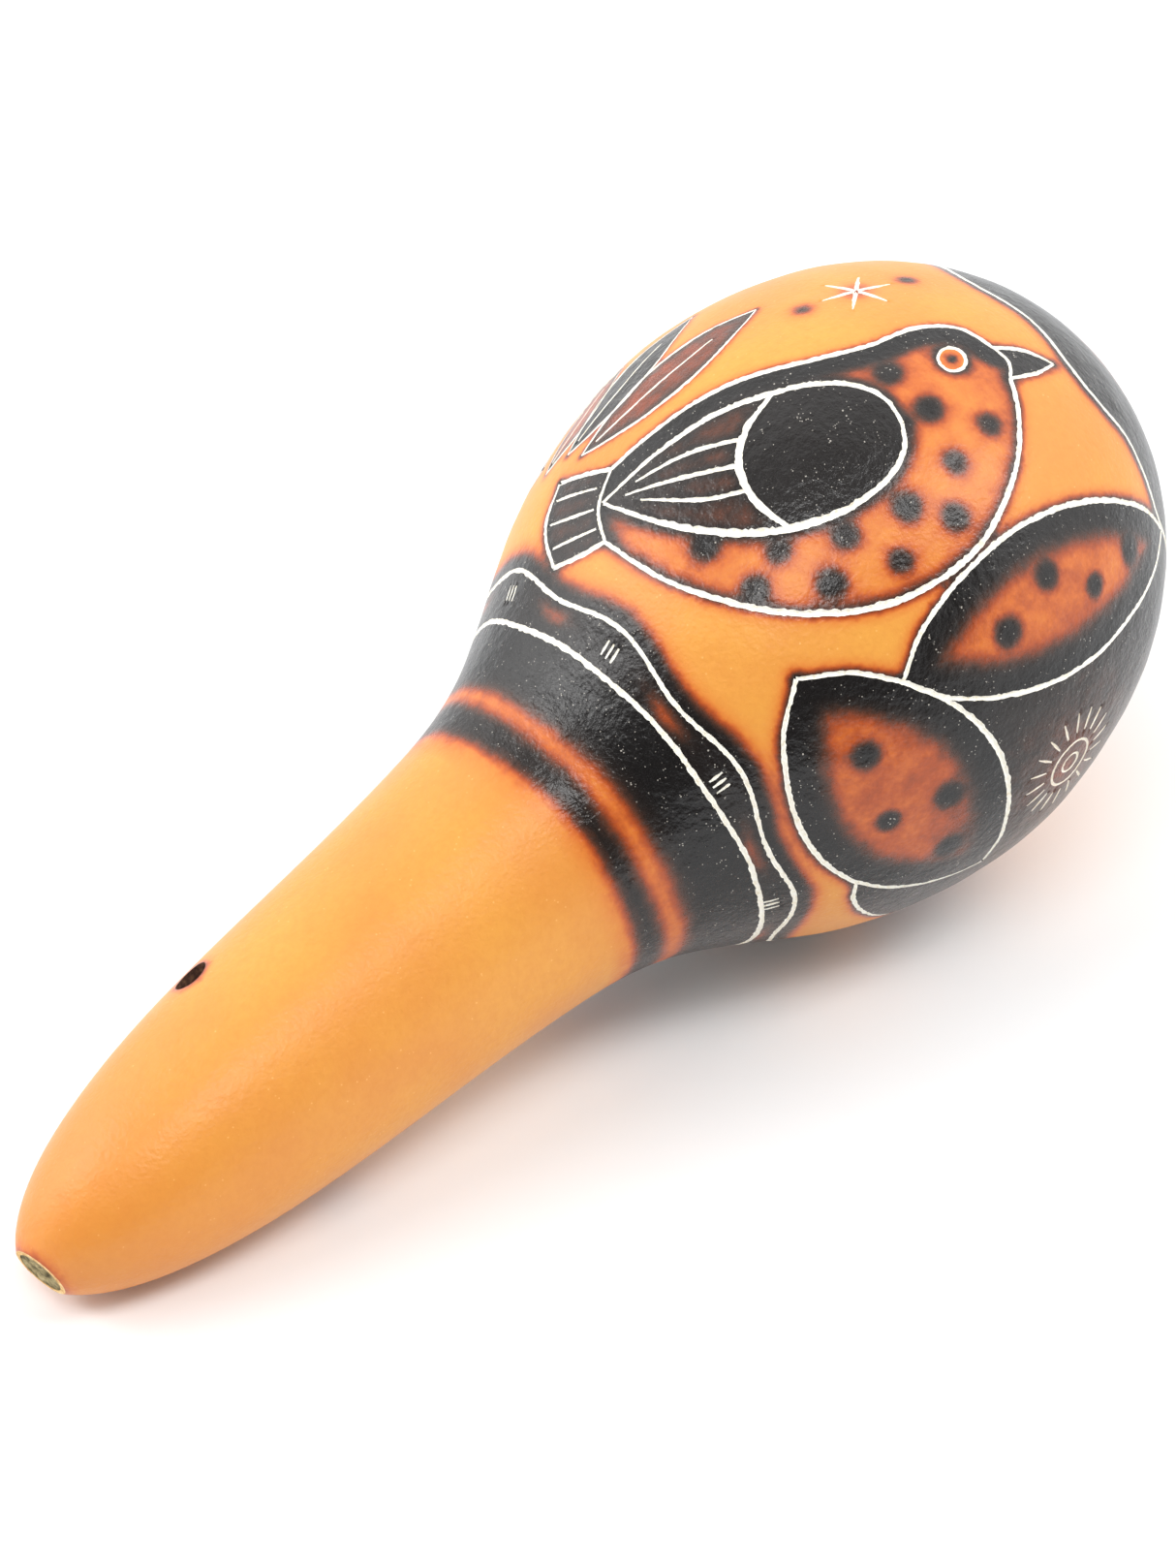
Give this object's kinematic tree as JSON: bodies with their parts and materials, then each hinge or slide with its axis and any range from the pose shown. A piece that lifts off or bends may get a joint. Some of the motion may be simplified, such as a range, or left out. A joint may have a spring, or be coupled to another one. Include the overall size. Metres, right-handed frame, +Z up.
{
  "type": "gourd maraca",
  "caption": "Dried bottle-gourd rattle with engraved and burnt folk decoration, a plain natural handle with a cord hole, and loose seeds in its hollow head.",
  "frame": {"origin": "centre of the bounding box's base, on the surface that the head and the handle both lie on", "axes": "+X along the length in plan, from the sawn stem end towards the head; +Z up; +Y to the left of +X"},
  "size_m": [0.1865, 0.083, 0.0841],
  "materials": {
    "gourd_skin": "satin lacquer over smooth dried rind, scorched black and orange on the head, grooves cut to the pale flesh",
    "stem_wood": "raw sawn woody stem, grey-tan and fibrous",
    "seed": "hard smooth dry seed, dark brown"
  },
  "bodies": {
    "gourd": {"gourd_shell": "gourd_skin", "stem_core": "stem_wood"},
    "seed_01": {"seed_01": "seed"},
    "seed_02": {"seed_02": "seed"},
    "seed_03": {"seed_03": "seed"},
    "seed_04": {"seed_04": "seed"},
    "seed_05": {"seed_05": "seed"},
    "seed_06": {"seed_06": "seed"},
    "seed_07": {"seed_07": "seed"},
    "seed_08": {"seed_08": "seed"},
    "seed_09": {"seed_09": "seed"},
    "seed_10": {"seed_10": "seed"},
    "seed_11": {"seed_11": "seed"},
    "seed_12": {"seed_12": "seed"},
    "seed_13": {"seed_13": "seed"},
    "seed_14": {"seed_14": "seed"},
    "seed_15": {"seed_15": "seed"},
    "seed_16": {"seed_16": "seed"},
    "seed_17": {"seed_17": "seed"},
    "seed_18": {"seed_18": "seed"},
    "seed_19": {"seed_19": "seed"},
    "seed_20": {"seed_20": "seed"},
    "seed_21": {"seed_21": "seed"},
    "seed_22": {"seed_22": "seed"},
    "seed_23": {"seed_23": "seed"},
    "seed_24": {"seed_24": "seed"},
    "seed_25": {"seed_25": "seed"},
    "seed_26": {"seed_26": "seed"},
    "seed_27": {"seed_27": "seed"},
    "seed_28": {"seed_28": "seed"},
    "seed_29": {"seed_29": "seed"},
    "seed_30": {"seed_30": "seed"},
    "seed_31": {"seed_31": "seed"},
    "seed_32": {"seed_32": "seed"},
    "seed_33": {"seed_33": "seed"},
    "seed_34": {"seed_34": "seed"},
    "seed_35": {"seed_35": "seed"},
    "seed_36": {"seed_36": "seed"},
    "seed_37": {"seed_37": "seed"}
  },
  "joints": [
    {"name": "seed_01_slide", "type": "slide", "parent": "gourd", "child": "seed_01", "axis": [0, 0, 1], "range_m": [0, 0.0709]},
    {"name": "seed_02_slide", "type": "slide", "parent": "gourd", "child": "seed_02", "axis": [0, 0, 1], "range_m": [0, 0.0716]},
    {"name": "seed_03_slide", "type": "slide", "parent": "gourd", "child": "seed_03", "axis": [0, 0, 1], "range_m": [0, 0.0698]},
    {"name": "seed_04_slide", "type": "slide", "parent": "gourd", "child": "seed_04", "axis": [0, 0, 1], "range_m": [0, 0.069]},
    {"name": "seed_05_slide", "type": "slide", "parent": "gourd", "child": "seed_05", "axis": [0, 0, 1], "range_m": [0, 0.069]},
    {"name": "seed_06_slide", "type": "slide", "parent": "gourd", "child": "seed_06", "axis": [0, 0, 1], "range_m": [0, 0.0696]},
    {"name": "seed_07_slide", "type": "slide", "parent": "gourd", "child": "seed_07", "axis": [0, 0, 1], "range_m": [0, 0.0709]},
    {"name": "seed_08_slide", "type": "slide", "parent": "gourd", "child": "seed_08", "axis": [0, 0, 1], "range_m": [0, 0.0703]},
    {"name": "seed_09_slide", "type": "slide", "parent": "gourd", "child": "seed_09", "axis": [0, 0, 1], "range_m": [0, 0.0698]},
    {"name": "seed_10_slide", "type": "slide", "parent": "gourd", "child": "seed_10", "axis": [0, 0, 1], "range_m": [0, 0.0674]},
    {"name": "seed_11_slide", "type": "slide", "parent": "gourd", "child": "seed_11", "axis": [0, 0, 1], "range_m": [0, 0.067]},
    {"name": "seed_12_slide", "type": "slide", "parent": "gourd", "child": "seed_12", "axis": [0, 0, 1], "range_m": [0, 0.0655]},
    {"name": "seed_13_slide", "type": "slide", "parent": "gourd", "child": "seed_13", "axis": [0, 0, 1], "range_m": [0, 0.067]},
    {"name": "seed_14_slide", "type": "slide", "parent": "gourd", "child": "seed_14", "axis": [0, 0, 1], "range_m": [0, 0.0654]},
    {"name": "seed_15_slide", "type": "slide", "parent": "gourd", "child": "seed_15", "axis": [0, 0, 1], "range_m": [0, 0.0668]},
    {"name": "seed_16_slide", "type": "slide", "parent": "gourd", "child": "seed_16", "axis": [0, 0, 1], "range_m": [0, 0.0657]},
    {"name": "seed_17_slide", "type": "slide", "parent": "gourd", "child": "seed_17", "axis": [0, 0, 1], "range_m": [0, 0.068]},
    {"name": "seed_18_slide", "type": "slide", "parent": "gourd", "child": "seed_18", "axis": [0, 0, 1], "range_m": [0, 0.0683]},
    {"name": "seed_19_slide", "type": "slide", "parent": "gourd", "child": "seed_19", "axis": [0, 0, 1], "range_m": [0, 0.0704]},
    {"name": "seed_20_slide", "type": "slide", "parent": "gourd", "child": "seed_20", "axis": [0, 0, 1], "range_m": [0, 0.0677]},
    {"name": "seed_21_slide", "type": "slide", "parent": "gourd", "child": "seed_21", "axis": [0, 0, 1], "range_m": [0, 0.0676]},
    {"name": "seed_22_slide", "type": "slide", "parent": "gourd", "child": "seed_22", "axis": [0, 0, 1], "range_m": [0, 0.0661]},
    {"name": "seed_23_slide", "type": "slide", "parent": "gourd", "child": "seed_23", "axis": [0, 0, 1], "range_m": [0, 0.0617]},
    {"name": "seed_24_slide", "type": "slide", "parent": "gourd", "child": "seed_24", "axis": [0, 0, 1], "range_m": [0, 0.063]},
    {"name": "seed_25_slide", "type": "slide", "parent": "gourd", "child": "seed_25", "axis": [0, 0, 1], "range_m": [0, 0.0615]},
    {"name": "seed_26_slide", "type": "slide", "parent": "gourd", "child": "seed_26", "axis": [0, 0, 1], "range_m": [0, 0.0593]},
    {"name": "seed_27_slide", "type": "slide", "parent": "gourd", "child": "seed_27", "axis": [0, 0, 1], "range_m": [0, 0.0623]},
    {"name": "seed_28_slide", "type": "slide", "parent": "gourd", "child": "seed_28", "axis": [0, 0, 1], "range_m": [0, 0.0623]},
    {"name": "seed_29_slide", "type": "slide", "parent": "gourd", "child": "seed_29", "axis": [0, 0, 1], "range_m": [0, 0.0608]},
    {"name": "seed_30_slide", "type": "slide", "parent": "gourd", "child": "seed_30", "axis": [0, 0, 1], "range_m": [0, 0.0622]},
    {"name": "seed_31_slide", "type": "slide", "parent": "gourd", "child": "seed_31", "axis": [0, 0, 1], "range_m": [0, 0.0625]},
    {"name": "seed_32_slide", "type": "slide", "parent": "gourd", "child": "seed_32", "axis": [0, 0, 1], "range_m": [0, 0.0598]},
    {"name": "seed_33_slide", "type": "slide", "parent": "gourd", "child": "seed_33", "axis": [0, 0, 1], "range_m": [0, 0.0629]},
    {"name": "seed_34_slide", "type": "slide", "parent": "gourd", "child": "seed_34", "axis": [0, 0, 1], "range_m": [0, 0.0648]},
    {"name": "seed_35_slide", "type": "slide", "parent": "gourd", "child": "seed_35", "axis": [0, 0, 1], "range_m": [0, 0.0645]},
    {"name": "seed_36_slide", "type": "slide", "parent": "gourd", "child": "seed_36", "axis": [0, 0, 1], "range_m": [0, 0.0678]},
    {"name": "seed_37_slide", "type": "slide", "parent": "gourd", "child": "seed_37", "axis": [0, 0, 1], "range_m": [0, 0.0685]}
  ]
}
